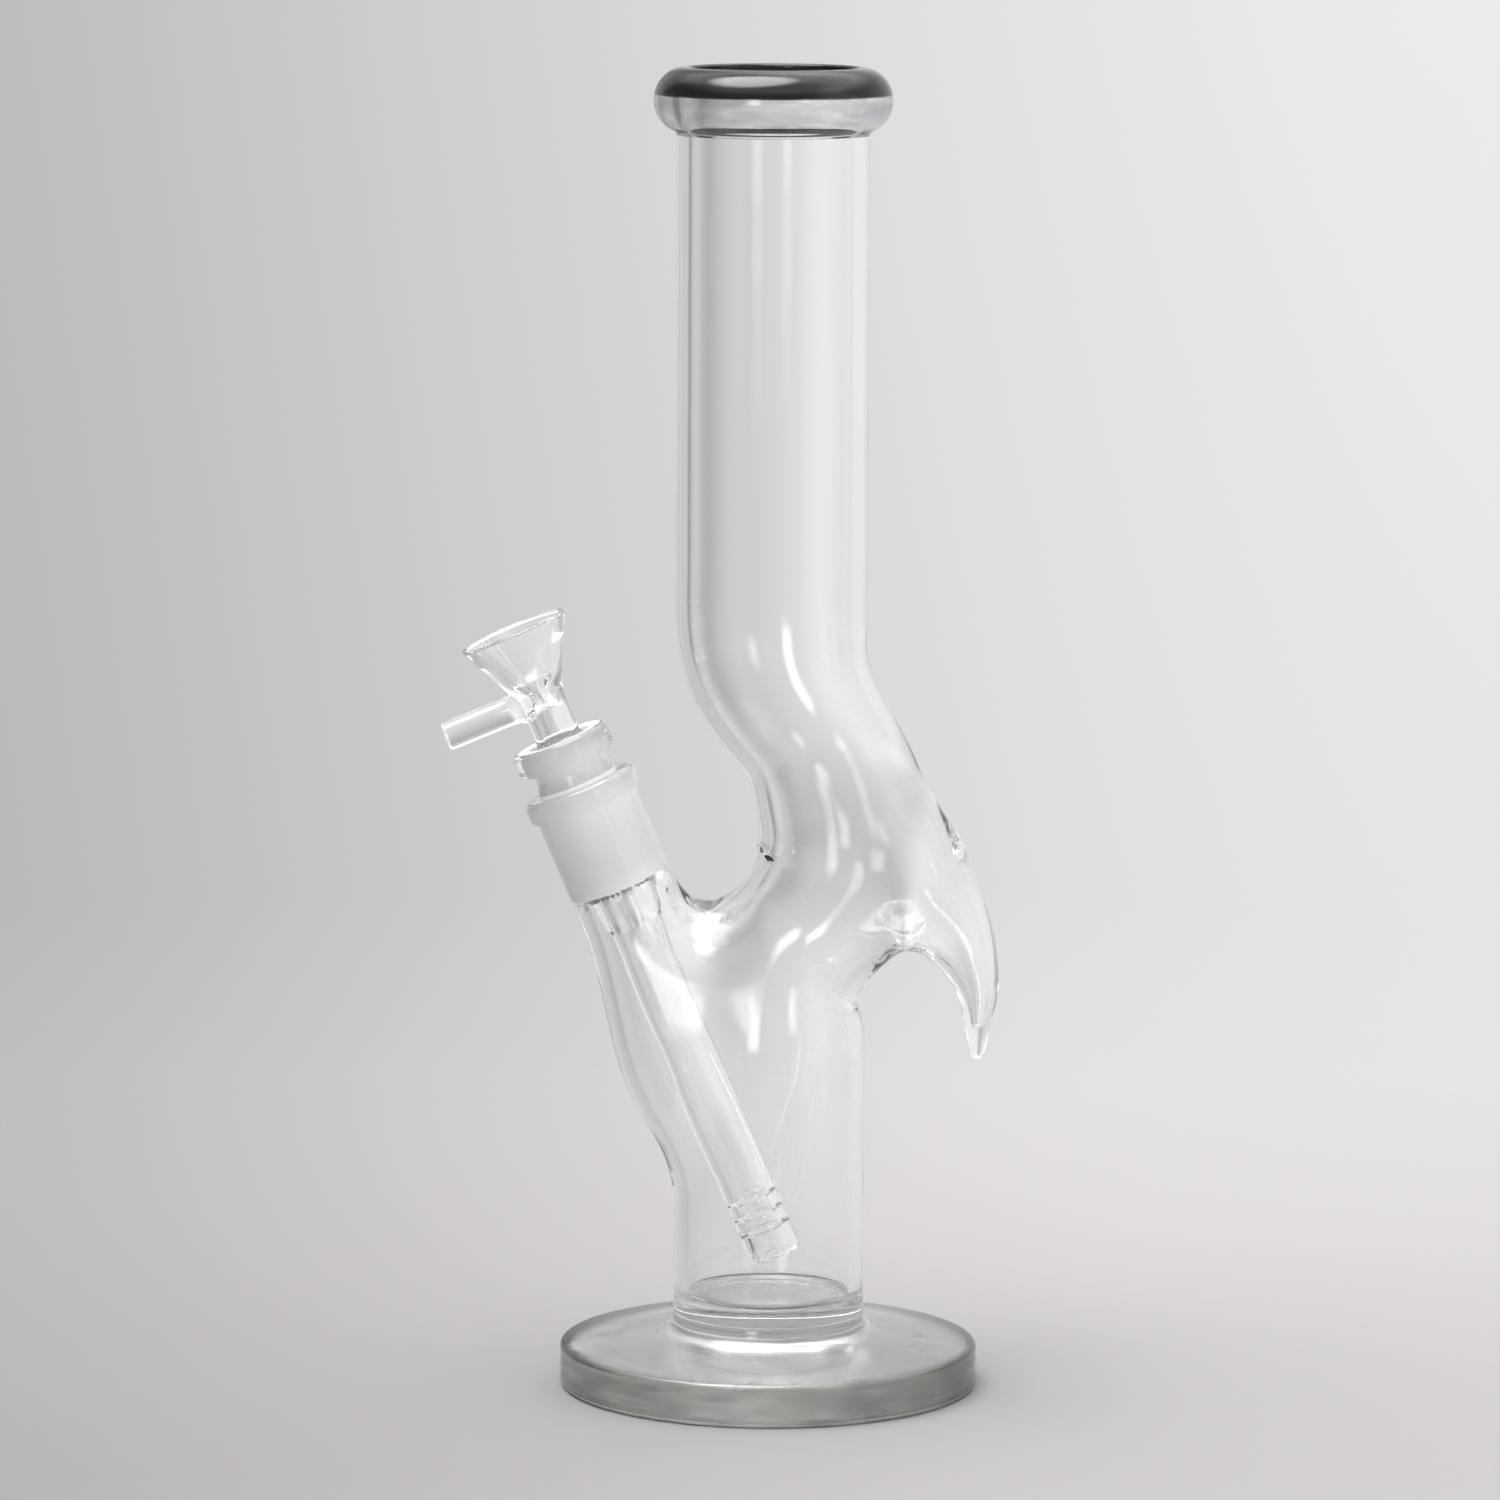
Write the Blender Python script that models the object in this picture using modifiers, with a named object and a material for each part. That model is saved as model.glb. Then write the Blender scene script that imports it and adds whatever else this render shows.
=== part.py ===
"""Bent-neck glass water pipe: foot, blown body, rolled lip, ground socket, downstem and bowl.

Blender 4.5, metres, +Z up. The origin is the middle of the foot's underside. The body is symmetric
about the plane y = 0, the neck stands on the Z axis, and the branch leans towards -X.
"""
import math

import bmesh
import bpy
from mathutils import Euler, Matrix, Vector

MM = 0.001              # every dimension below is in millimetres
MERGE = 0.00001         # metres, merge distance of the turned shapes and the swept caps
FUSED_GAP = 0.3         # left between blanks that are fused, and between seated ground faces

# Foot
FOOT_RADIUS = 49.1
FOOT_HEIGHT = 10.0
RIM_RING_WIDTH = 2.4
RIM_BEVEL = 0.9
BOSS_FILLET = 4.5
BOSS_FILLET_HEIGHT = 2.7
DISC_TOP_AT_BOSS = 12.4

# Main tube
TUBE_RADIUS = 22.4
TUBE_WALL = 3.4
CHAMBER_FLOOR = 21.0
NECK_START = 185.0
NECK_TOP = 294.0

# Rolled lip
LIP_MIDDLE_RADIUS = 20.5
LIP_OUTER_REACH = 7.2
LIP_INNER_REACH = 4.6
LIP_HEIGHT = 15.2
LIP_SEAT_HALF_WIDTH = 1.5

# Ground-joint axis: it leans from vertical towards -X and passes through the foot of the socket
JOINT_LEAN_DEG = 22.8
SOCKET_FOOT = (-35.0, 0.0, 118.6)
TAPER = 0.05            # change of radius along a ground joint, 1:10 on the diameter

# Stations along the joint axis, counted from the foot of the socket, outwards positive
SOCKET_MOUTH = 26.0
SOCKET_RADIUS = 12.2
SOCKET_RIM_RADIUS = 13.6
SOCKET_RIM_HEIGHT = 5.4
MALE_TOP = 27.0
MALE_RADIUS = 9.5
MALE_GROUND_END = 0.0
MALE_TAIL = ((7.9, -2.0), (7.7, -7.0), (7.2, -8.4))
MALE_END = -9.0
WAIST_STATION = 30.2
WAIST_RADIUS = 8.7
COLLAR_BOTTOM = 31.6
COLLAR_TOP = 37.5
COLLAR_RADIUS = 11.8
STEM_RADIUS = 6.4
STEM_BORE = 4.4
STEM_END = -95.2
SLIT_STATIONS = (-79.9, -83.8, -87.7)
SLIT_HEIGHT = 1.3
SLIT_RIB = 2.3          # half the width of the glass left standing at each side of the slits
BOWL_SOCKET_RADIUS = 7.25
BOWL_SOCKET_END = 17.5
PLUG_TOP = 36.8
PLUG_END = 18.5
PLUG_BORE = 3.5
BOWL_STEM_RADIUS = 5.4
BOWL_BORE_END = 45.6
BOWL_HOLE_RADIUS = 1.7
FUNNEL_START = 50.6
FUNNEL_START_RADIUS = 6.0
FUNNEL_MOUTH = 65.2
FUNNEL_MOUTH_RADIUS = 12.8
FUNNEL_WALL = 1.8
CUP_FLOOR = 51.6
CUP_FLOOR_RADIUS = 3.4
HANDLE_STATION = 47.8
HANDLE_RADIUS = 3.4
HANDLE_TIP = 24.2

# Blown body: (x, z, radius) of round sections along the paths of the tube and the horn
BEND_PATH = (
    (0.0, NECK_START, TUBE_RADIUS),
    (0.0, 180.5, TUBE_RADIUS),
    (0.3, 175.5, 22.3),
    (3.4, 164.5, 21.4),
    (9.7, 153.5, 19.4),
    (14.7, 143.7, 19.3),
    (18.6, 132.5, 21.4),
    (17.2, 121.0, 21.8),
    (9.0, 107.5, 19.6),
    (3.0, 97.0, 20.8),
    (0.0, 84.0, TUBE_RADIUS),
    (0.0, 52.0, TUBE_RADIUS),
    (0.0, CHAMBER_FLOOR, TUBE_RADIUS),
)
HORN_PATH = (
    (20.0, 133.0, 19.4),
    (30.2, 122.0, 17.0),
    (37.2, 113.8, 13.1),
    (42.8, 106.6, 9.6),
    (46.9, 99.2, 6.7),
    (48.7, 92.0, 4.7),
    (49.0, 85.5, 3.4),
    (48.7, 80.0, 2.5),
    (48.3, 77.4, 1.2),
)
HORN_SOLID_STATIONS = 2     # the hollow stops this many stations before the tip
HORN_THINNING = 2.0         # the horn's wall is TUBE_WALL where it is wide, and thins towards the tip
BRANCH_STATIONS = (         # (station along the joint axis, radius)
    (0.0, SOCKET_RADIUS),
    (-8.0, SOCKET_RADIUS),
    (-22.0, 14.2),
    (-35.0, 16.5),
    (-48.0, 17.3),
    (-58.0, 16.2),
    (-68.0, 15.8),
    (-78.0, 14.5),
)
BRANCH_WALL = 3.0
OVERRUN = 2.0               # how far the hollows run past an open end

TUBE_SIDES = 36
BRANCH_SIDES = 28
HORN_SIDES = 20
FOOT_SIDES = 48
LIP_SIDES = 40
JOINT_SIDES = 32
HANDLE_SIDES = 20


def clear_scene():
    for old in list(bpy.data.objects):
        bpy.data.objects.remove(old)


def new_collection(name):
    collection = bpy.data.collections.new(name)
    bpy.context.scene.collection.children.link(collection)
    return collection


def glass(name, colour, roughness, transmission):
    material = bpy.data.materials.new(name)
    material.use_nodes = True
    shader = material.node_tree.nodes["Principled BSDF"]
    shader.inputs["Base Color"].default_value = (*colour, 1.0)
    shader.inputs["Roughness"].default_value = roughness
    shader.inputs["Metallic"].default_value = 0.0
    shader.inputs["Transmission Weight"].default_value = transmission
    shader.inputs["IOR"].default_value = 1.47
    return material


def arc(centre, reach, start_deg, end_deg, steps):
    """Points on an ellipse in the (radius, height) plane; reach is its half width and half height."""
    points = []
    for step in range(steps + 1):
        angle = math.radians(start_deg + (end_deg - start_deg) * step / steps)
        points.append((centre[0] + reach[0] * math.cos(angle), centre[1] + reach[1] * math.sin(angle)))
    return points


def turned(name, profile, sides, closed=True):
    """A turned solid. Its (radius, height) profile runs down the outer side first."""
    mesh = bpy.data.meshes.new(name)
    points = [Vector((radius, 0.0, height)) * MM for radius, height in profile]
    edges = [(index, index + 1) for index in range(len(points) - 1)]
    if closed:
        edges.append((len(points) - 1, 0))
    mesh.from_pydata(points, edges, [])
    piece = bpy.data.objects.new(name, mesh)
    screw = piece.modifiers.new("turn", "SCREW")
    screw.axis = "Z"
    screw.steps = sides
    screw.render_steps = sides
    screw.use_merge_vertices = True
    screw.merge_threshold = MERGE
    screw.use_smooth_shade = True
    return piece


def swept(name, stations, sides):
    """A mesh swept along a smooth path of (x, y, z, radius) stations, closed by flat caps."""
    curve = bpy.data.curves.new(name, "CURVE")
    curve.dimensions = "3D"
    curve.bevel_depth = MM
    curve.bevel_resolution = (sides - 4) // 2
    curve.use_fill_caps = True
    curve.resolution_u = 2
    curve.render_resolution_u = 0
    spline = curve.splines.new("BEZIER")
    spline.radius_interpolation = "CARDINAL"
    spline.bezier_points.add(len(stations) - 1)
    for point, (x, y, z, radius) in zip(spline.bezier_points, stations):
        point.co = Vector((x, y, z)) * MM
        point.radius = radius
        point.handle_left_type = "AUTO"
        point.handle_right_type = "AUTO"
    path = bpy.data.objects.new(name + "_path", curve)
    bpy.context.scene.collection.objects.link(path)
    evaluated = path.evaluated_get(bpy.context.evaluated_depsgraph_get())
    mesh = bpy.data.meshes.new_from_object(evaluated)
    weld_caps(mesh)
    piece = bpy.data.objects.new(name, mesh)
    piece.matrix_world = path.matrix_world.copy()
    bpy.data.objects.remove(path)
    return piece


def weld_caps(mesh):
    work = bmesh.new()
    work.from_mesh(mesh)
    bmesh.ops.remove_doubles(work, verts=work.verts, dist=MERGE)
    bmesh.ops.recalc_face_normals(work, faces=work.faces)
    work.to_mesh(mesh)
    work.free()
    mesh.shade_smooth()
    mesh.set_sharp_from_angle(angle=math.radians(40.0))


def combine(piece, tool, operation, cutters):
    cutters.objects.link(tool)
    tool.hide_render = True
    tool.display_type = "WIRE"
    modifier = piece.modifiers.new(tool.name, "BOOLEAN")
    modifier.operation = operation
    modifier.solver = "EXACT"
    modifier.object = tool


def joint_frame():
    """An empty on the joint axis: its +Z points out of the socket, its -X along the bowl's handle."""
    frame = bpy.data.objects.new("joint_axis", None)
    frame.empty_display_size = 20.0 * MM
    frame.location = Vector(SOCKET_FOOT) * MM
    frame.rotation_euler = Euler((0.0, -math.radians(JOINT_LEAN_DEG), 0.0))
    bpy.context.scene.collection.objects.link(frame)
    return frame


def on_axis(station):
    lean = math.radians(JOINT_LEAN_DEG)
    x, y, z = SOCKET_FOOT
    return x - station * math.sin(lean), y, z + station * math.cos(lean)


def male_radius(station):
    return MALE_RADIUS - TAPER * (MALE_TOP - station)


def bowl_socket_radius(station):
    return BOWL_SOCKET_RADIUS - TAPER * (COLLAR_TOP - station)


def make_foot_disc():
    edge = FOOT_RADIUS - RIM_RING_WIDTH - FUSED_GAP
    top = CHAMBER_FLOOR - FUSED_GAP
    shoulder = arc((TUBE_RADIUS - 1.0, top - 1.0), (1.0, 1.0), 90.0, 0.0, 3)
    fillet = arc(
        (TUBE_RADIUS + BOSS_FILLET, DISC_TOP_AT_BOSS + BOSS_FILLET_HEIGHT),
        (BOSS_FILLET, BOSS_FILLET_HEIGHT), 180.0, 270.0, 4)
    profile = [(0.0, top), *shoulder, *fillet, (edge, FOOT_HEIGHT), (edge, 0.0), (0.0, 0.0)]
    return turned("foot_disc", profile, FOOT_SIDES, closed=False)


def make_foot_rim_ring():
    inner = FOOT_RADIUS - RIM_RING_WIDTH
    middle = FOOT_RADIUS - RIM_BEVEL
    top = arc((middle, FOOT_HEIGHT - RIM_BEVEL), (RIM_BEVEL, RIM_BEVEL), 90.0, 0.0, 2)
    bottom = arc((middle, RIM_BEVEL), (RIM_BEVEL, RIM_BEVEL), 0.0, -90.0, 2)
    return turned("foot_rim_ring", [(inner, FOOT_HEIGHT), *top, *bottom, (inner, 0.0)], FOOT_SIDES)


def make_neck_tube():
    bore = TUBE_RADIUS - TUBE_WALL
    bottom = NECK_START + FUSED_GAP
    profile = [(bore, NECK_TOP), (TUBE_RADIUS, NECK_TOP), (TUBE_RADIUS, bottom), (bore, bottom)]
    return turned("neck_tube", profile, TUBE_SIDES)


def make_lip_ring():
    half = LIP_HEIGHT / 2.0
    seat = NECK_TOP + FUSED_GAP
    middle = (LIP_MIDDLE_RADIUS, seat + half)
    outer = arc(middle, (LIP_OUTER_REACH, half), 90.0, -78.0, 9)
    inner = arc(middle, (LIP_INNER_REACH, half), -108.0, -270.0, 8)[:-1]
    flat = [(LIP_MIDDLE_RADIUS + LIP_SEAT_HALF_WIDTH, seat), (LIP_MIDDLE_RADIUS - LIP_SEAT_HALF_WIDTH, seat)]
    return turned("lip_ring", [*outer[:-1], *flat, *inner[1:]], LIP_SIDES)


def bend_stations(wall, overrun):
    stations = [[x, 0.0, z, radius - wall] for x, z, radius in BEND_PATH]
    stations[0][2] += overrun
    stations[-1][2] -= overrun
    return stations


def horn_stations(wall):
    path = HORN_PATH[:-HORN_SOLID_STATIONS] if wall else HORN_PATH
    return [(x, 0.0, z, radius - wall * radius / (radius + HORN_THINNING)) for x, z, radius in path]


def branch_stations(wall, overrun):
    places = [(station + (overrun if station == 0.0 else 0.0), radius) for station, radius in BRANCH_STATIONS]
    return [(*on_axis(station), radius - wall) for station, radius in places]


def make_bend_body(cutters):
    body = swept("bend_body", bend_stations(0.0, 0.0), TUBE_SIDES)
    combine(body, swept("horn_outside", horn_stations(0.0), HORN_SIDES), "UNION", cutters)
    combine(body, swept("branch_outside", branch_stations(0.0, 0.0), BRANCH_SIDES), "UNION", cutters)
    combine(body, swept("bend_hollow", bend_stations(TUBE_WALL, OVERRUN), TUBE_SIDES), "DIFFERENCE", cutters)
    combine(body, swept("horn_hollow", horn_stations(TUBE_WALL), HORN_SIDES), "DIFFERENCE", cutters)
    branch_hollow = swept("branch_hollow", branch_stations(BRANCH_WALL, OVERRUN), BRANCH_SIDES)
    combine(body, branch_hollow, "DIFFERENCE", cutters)
    return body


def make_joint_socket():
    rim_bottom = SOCKET_MOUTH - SOCKET_RIM_HEIGHT
    profile = [
        (male_radius(SOCKET_MOUTH) + FUSED_GAP + 0.6, SOCKET_MOUTH),
        *arc((SOCKET_RIM_RADIUS - 1.6, SOCKET_MOUTH - 1.6), (1.6, 1.6), 90.0, 0.0, 4),
        *arc((SOCKET_RIM_RADIUS - 1.0, rim_bottom + 1.0), (1.0, 1.0), 0.0, -90.0, 2),
        (SOCKET_RADIUS, rim_bottom - 0.2),
        (SOCKET_RADIUS, FUSED_GAP),
        (male_radius(FUSED_GAP) + FUSED_GAP, FUSED_GAP),
        (male_radius(SOCKET_MOUTH) + FUSED_GAP, SOCKET_MOUTH - 1.0),
    ]
    return turned("joint_socket", profile, JOINT_SIDES)


def make_downstem_joint():
    profile = [
        *arc((COLLAR_RADIUS - 1.2, COLLAR_TOP - 1.2), (1.2, 1.2), 90.0, 0.0, 3),
        *arc((COLLAR_RADIUS - 1.0, COLLAR_BOTTOM + 1.0), (1.0, 1.0), 0.0, -90.0, 2),
        (WAIST_RADIUS + 0.5, COLLAR_BOTTOM - 0.2),
        (WAIST_RADIUS, WAIST_STATION),
        (MALE_RADIUS - 0.4, MALE_TOP + 1.2),
        (MALE_RADIUS, MALE_TOP),
        (male_radius(MALE_GROUND_END), MALE_GROUND_END),
        *MALE_TAIL,
        (STEM_RADIUS, MALE_END),
        (STEM_BORE, MALE_END),
        (STEM_BORE, BOWL_SOCKET_END - 5.0),
        (bowl_socket_radius(BOWL_SOCKET_END), BOWL_SOCKET_END),
        (BOWL_SOCKET_RADIUS, COLLAR_TOP),
    ]
    return turned("downstem_joint", profile, JOINT_SIDES)


def make_slit_cutter(name, side, station, frame):
    """A box that cuts one slit into the front (-1) or the back (+1) of the downstem's end."""
    width = 4.0 * STEM_RADIUS
    depth = 2.0 * STEM_RADIUS
    mesh = bpy.data.meshes.new(name)
    work = bmesh.new()
    bmesh.ops.create_cube(work, size=1.0, matrix=Matrix.Diagonal((width * MM, depth * MM, SLIT_HEIGHT * MM, 1.0)))
    work.to_mesh(mesh)
    work.free()
    cutter = bpy.data.objects.new(name, mesh)
    cutter.location = Vector((0.0, side * (SLIT_RIB + depth / 2.0), station)) * MM
    cutter.parent = frame
    return cutter


def make_downstem_tube(cutters, frame):
    wall = STEM_RADIUS - STEM_BORE
    top = MALE_END - FUSED_GAP
    end = arc((STEM_BORE + wall / 2.0, STEM_END + wall / 2.0), (wall / 2.0, wall / 2.0), 0.0, -180.0, 4)
    tube = turned("downstem_tube", [(STEM_BORE, top), (STEM_RADIUS, top), *end], JOINT_SIDES)
    for row, station in enumerate(SLIT_STATIONS):
        for word, side in (("front", -1.0), ("back", 1.0)):
            slit = make_slit_cutter(f"slit_{word}_{row + 1}", side, station, frame)
            combine(tube, slit, "DIFFERENCE", cutters)
    return tube


def make_bowl_plug():
    clearance = FUSED_GAP
    profile = [
        (BOWL_STEM_RADIUS, PLUG_TOP),
        (bowl_socket_radius(PLUG_TOP) - clearance - 0.5, PLUG_TOP),
        (bowl_socket_radius(PLUG_TOP) - clearance, PLUG_TOP - 0.6),
        (bowl_socket_radius(PLUG_END) - clearance, PLUG_END + 0.6),
        (bowl_socket_radius(PLUG_END) - clearance - 0.5, PLUG_END),
        (PLUG_BORE, PLUG_END),
        (PLUG_BORE, PLUG_TOP),
    ]
    return turned("bowl_plug", profile, JOINT_SIDES)


def funnel_outside(offset):
    """The funnel's outer side, from its mouth down its stem, moved outwards by offset."""
    return [
        (FUNNEL_MOUTH_RADIUS - 0.5 + offset, FUNNEL_MOUTH + offset),
        (FUNNEL_MOUTH_RADIUS + offset, FUNNEL_MOUTH - 0.5),
        (FUNNEL_START_RADIUS + offset, FUNNEL_START),
        (BOWL_STEM_RADIUS + 0.1 + offset, FUNNEL_START - 1.8),
        (BOWL_STEM_RADIUS + offset, FUNNEL_START - 4.0),
        (BOWL_STEM_RADIUS + offset, PLUG_TOP + FUSED_GAP - offset),
    ]


def make_bowl_funnel():
    profile = [
        (FUNNEL_MOUTH_RADIUS - FUNNEL_WALL + 0.4, FUNNEL_MOUTH),
        *funnel_outside(0.0),
        (PLUG_BORE, PLUG_TOP + FUSED_GAP),
        (PLUG_BORE, BOWL_BORE_END),
        (PLUG_BORE - 0.7, BOWL_BORE_END + 0.9),
        (BOWL_HOLE_RADIUS, BOWL_BORE_END + 1.3),
        (BOWL_HOLE_RADIUS, CUP_FLOOR - 0.8),
        (CUP_FLOOR_RADIUS, CUP_FLOOR),
        (FUNNEL_MOUTH_RADIUS - FUNNEL_WALL, FUNNEL_MOUTH - 0.4),
    ]
    return turned("bowl_funnel", profile, JOINT_SIDES)


def make_bowl_handle(cutters, frame):
    """A round rod along the frame's -X, its root cut to the funnel's outer side."""
    length = HANDLE_TIP
    bevel = 0.4
    profile = [
        (0.0, length),
        (HANDLE_RADIUS - bevel, length),
        (HANDLE_RADIUS, length - bevel),
        (HANDLE_RADIUS, 2.0),
        (0.0, 2.0),
    ]
    rod = turned("bowl_handle", profile, HANDLE_SIDES, closed=False)
    rod.location = Vector((0.0, 0.0, HANDLE_STATION)) * MM
    rod.rotation_euler = Euler((0.0, -math.pi / 2.0, 0.0))
    outside = funnel_outside(FUSED_GAP)
    clearance = turned("handle_clearance", [(0.0, outside[0][1]), *outside, (0.0, outside[-1][1])],
                       JOINT_SIDES, closed=False)
    clearance.parent = frame
    combine(rod, clearance, "DIFFERENCE", cutters)
    return rod


def main():
    clear_scene()
    parts = new_collection("water_pipe")
    cutters = new_collection("cutters")
    clear = glass("clear_glass", (0.96, 0.98, 0.97), 0.02, 0.95)
    smoke = glass("smoke_glass", (0.10, 0.11, 0.12), 0.03, 0.7)
    ground = glass("ground_glass", (0.90, 0.91, 0.90), 0.55, 0.5)
    frame = joint_frame()
    fixed = (
        (make_foot_disc(), clear),
        (make_foot_rim_ring(), smoke),
        (make_bend_body(cutters), clear),
        (make_neck_tube(), clear),
        (make_lip_ring(), smoke),
    )
    on_joint_axis = (
        (make_joint_socket(), ground),
        (make_downstem_joint(), ground),
        (make_downstem_tube(cutters, frame), clear),
        (make_bowl_plug(), ground),
        (make_bowl_funnel(), clear),
        (make_bowl_handle(cutters, frame), clear),
    )
    for piece, material in fixed + on_joint_axis:
        piece.data.materials.clear()
        piece.data.materials.append(material)
        parts.objects.link(piece)
    for piece, _ in on_joint_axis:
        piece.parent = frame


main()
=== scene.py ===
"""Looks of the bent-neck glass water pipe: one fused glass skin, its tinted ring glass, downstem and bowl.

Shapes are worked out in millimetres and turned into metres when a mesh is finished. The blown body is
the level set of a distance field: three round-sectioned limbs, blended where they meet.
"""
import math

import bmesh
import bpy
import numpy as np
from mathutils import Matrix, Vector


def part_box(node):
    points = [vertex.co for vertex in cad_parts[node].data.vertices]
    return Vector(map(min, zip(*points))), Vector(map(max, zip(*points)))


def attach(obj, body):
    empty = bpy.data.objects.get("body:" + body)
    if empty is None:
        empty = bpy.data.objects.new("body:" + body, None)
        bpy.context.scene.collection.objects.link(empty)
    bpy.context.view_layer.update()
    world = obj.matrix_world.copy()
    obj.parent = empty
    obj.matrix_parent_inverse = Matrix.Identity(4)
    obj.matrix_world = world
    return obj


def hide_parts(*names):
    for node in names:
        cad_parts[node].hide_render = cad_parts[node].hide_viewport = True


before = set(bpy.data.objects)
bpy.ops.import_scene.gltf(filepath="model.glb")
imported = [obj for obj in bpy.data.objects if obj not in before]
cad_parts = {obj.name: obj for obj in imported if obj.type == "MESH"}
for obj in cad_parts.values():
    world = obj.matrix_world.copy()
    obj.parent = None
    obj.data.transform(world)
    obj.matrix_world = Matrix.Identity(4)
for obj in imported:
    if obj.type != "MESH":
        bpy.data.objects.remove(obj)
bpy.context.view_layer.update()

MM = 0.001
NET_STEP = 1.2       # cell of the grid that the blown surfaces are netted on
RELAX_ROUNDS = 5
RELAX_SHARE = 0.6           # how far a vertex moves towards the middle of its neighbours in one round
PROBE_REACH = 0.01
LIMB_STRIDE = 5.0           # between the places on a middle line that a search starts from
LIMB_ROUNDS = 5
LIMB_LONGEST_STEP = 2.0
LIMB_BLOCK = 20000          # points handled at a time, which keeps the memory small
BLOWN_TOUCH = 0.004         # a vertex this close to a blown surface, and facing nearly as it does, lies on it
BLOWN_FACING = 0.9

# Foot, main tube and lip, read from the frame where it gives them
FOOT_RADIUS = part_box("foot_rim_ring")[1].x / MM
FOOT_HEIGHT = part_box("foot_rim_ring")[1].z / MM
RIM_RING_WIDTH = 2.4
RIM_BEVEL = 1.1
BOSS_FILLET = 5.5
BOSS_FILLET_HEIGHT = 3.2
DISC_TOP_AT_BOSS = 12.4
CHAMBER_FLOOR = 21.0
TUBE_RADIUS = 22.4
TUBE_WALL = 3.4
BORE_RADIUS = TUBE_RADIUS - TUBE_WALL
LIP_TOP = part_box("lip_ring")[1].z / MM
LIP_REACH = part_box("lip_ring")[1].x / MM
LIP_MIDDLE_RADIUS = 20.5
LIP_HEIGHT = 15.2
LIP_FROM_DEG = -70.0        # where the lip's outside leaves the tube
LIP_MOUTH_SHARE = 0.92      # where its inside starts, as a share of its half height
LIP_FLARE = 3.0             # the bore widens inside the lip, which was rolled from the tube itself
LIP_PAINTED_SHADE_FROM_DEG = 9.0     # painted shade: the darker smoke glass starts a little over the lip's middle, and the paler copy below it is painted light
TINT_INSET = 0.06           # smoke glass lies this far inside the clear skin

# Joint axis and stations along it, from the foot of the socket outwards
JOINT_LEAN = math.radians(22.8)
SOCKET_FOOT = Vector((-35.0, 0.0, 118.6))
JOINT_FRAME = Matrix.Translation(SOCKET_FOOT) @ Matrix.Rotation(-JOINT_LEAN, 4, "Y")
UPRIGHT = Matrix.Identity(4)
TAPER = 0.05
GROUND_CLEARANCE = 0.12
SOCKET_MOUTH = 26.0
SOCKET_RADIUS = 12.2
SOCKET_RIM_RADIUS = 13.6
SOCKET_RIM_HEIGHT = 5.4
MALE_TOP = 27.0
MALE_RADIUS = 9.5
WAIST_RADIUS = 8.7
COLLAR_BOTTOM = 31.6
COLLAR_TOP = 37.5
COLLAR_RADIUS = 11.8
STEM_RADIUS = 6.4
STEM_BORE = 4.4
STEM_END = -95.2
SLIT_STATIONS = (-79.9, -83.8, -87.7)
SLIT_HEIGHT = 1.3
SLIT_RIB = 2.3
BOWL_SOCKET_RADIUS = 7.25
PLUG_END = 18.5
PLUG_BORE = 3.5
BOWL_STEM_RADIUS = 5.4
FUNNEL_MOUTH = 65.2
FUNNEL_MOUTH_RADIUS = 12.8
FUNNEL_WALL = 1.3
HANDLE_STATION = 47.8
HANDLE_RADIUS = 3.4
HANDLE_TIP = 24.2

# Limbs of the blown body: (x, z, radius) along the tube and the horn, (station, radius) along the branch
BEND = (
    (0.0, 294.0, 22.4), (0.0, 260.0, 22.4), (0.0, 226.0, 22.4), (0.0, 205.0, 22.4), (0.0, 192.0, 22.4),
    (0.0, 182.0, 22.4), (1.1, 173.0, 21.9), (5.3, 162.5, 19.9), (10.8, 153.0, 18.5), (14.9, 143.7, 19.4),
    (17.7, 133.0, 20.5), (17.0, 121.0, 21.1), (9.2, 108.5, 18.7), (2.0, 97.0, 20.0), (0.0, 85.0, 22.3),
    (0.0, 70.0, 22.4), (0.0, 52.0, 22.4), (0.0, 36.0, 22.4), (0.0, 21.0, 22.4),
)
HORN = (
    (22.0, 130.0, 16.4), (30.6, 122.8, 15.7), (37.6, 114.8, 12.9), (43.5, 107.4, 9.3), (47.6, 98.9, 6.3),
    (49.1, 91.5, 4.4), (48.8, 85.5, 3.2), (48.7, 80.6, 2.1), (48.7, 79.4, 1.8),
)
HORN_HOLLOW_STATIONS = 7
BRANCH = (
    (-90.0, 8.0), (-78.0, 11.5), (-68.0, 14.0), (-58.0, 15.8), (-48.0, 17.0), (-35.0, 16.3), (-22.0, 14.0),
    (-8.0, 12.2), (0.0, 12.2), (12.0, 12.2),
)
BRANCH_WALL = 3.0
BRANCH_CLOSING = 0.5         # below its first station the branch narrows this much for each millimetre
BORE_SOCKET_STEP = SOCKET_RADIUS - BRANCH_WALL
BEND_INSIDE_HEIGHT = 128.0   # around this height the wall on the inside of the bend is thicker
BEND_INSIDE_SPREAD = 17.0
BEND_BORE_SHIFT = 0.8
BEND_BORE_SHRINK = 0.2
HORN_HALF_WALL_RADIUS = 2.0  # a horn this thin would have half the tube's wall
HORN_BLEND = 5.0
BORE_HORN_BLEND = 15.0       # inside, the glass ran together in a wider curve
BRANCH_BLEND_LOW = 5.0
BRANCH_BLEND_HIGH = 18.0
BRANCH_BLEND_FROM = 75.0
BRANCH_BLEND_TO = 105.0
NET_BOX = ((-52.0, 58.0), (-26.0, 26.0), (22.0, 198.0))
NECK_CUT = 190.0
CHAMBER_CUT = 30.0
BRANCH_CUT = -3.0
CUT_BAND = 2.0              # the turned ends start this far beyond a cut
CUT_DEPTH = 4.0             # a cut looks at the faces beyond it and up to this far inside it
TUBE_CUT_REACH = 30.0       # and no further than this from its axis
BRANCH_CUT_REACH = 17.0
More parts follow.
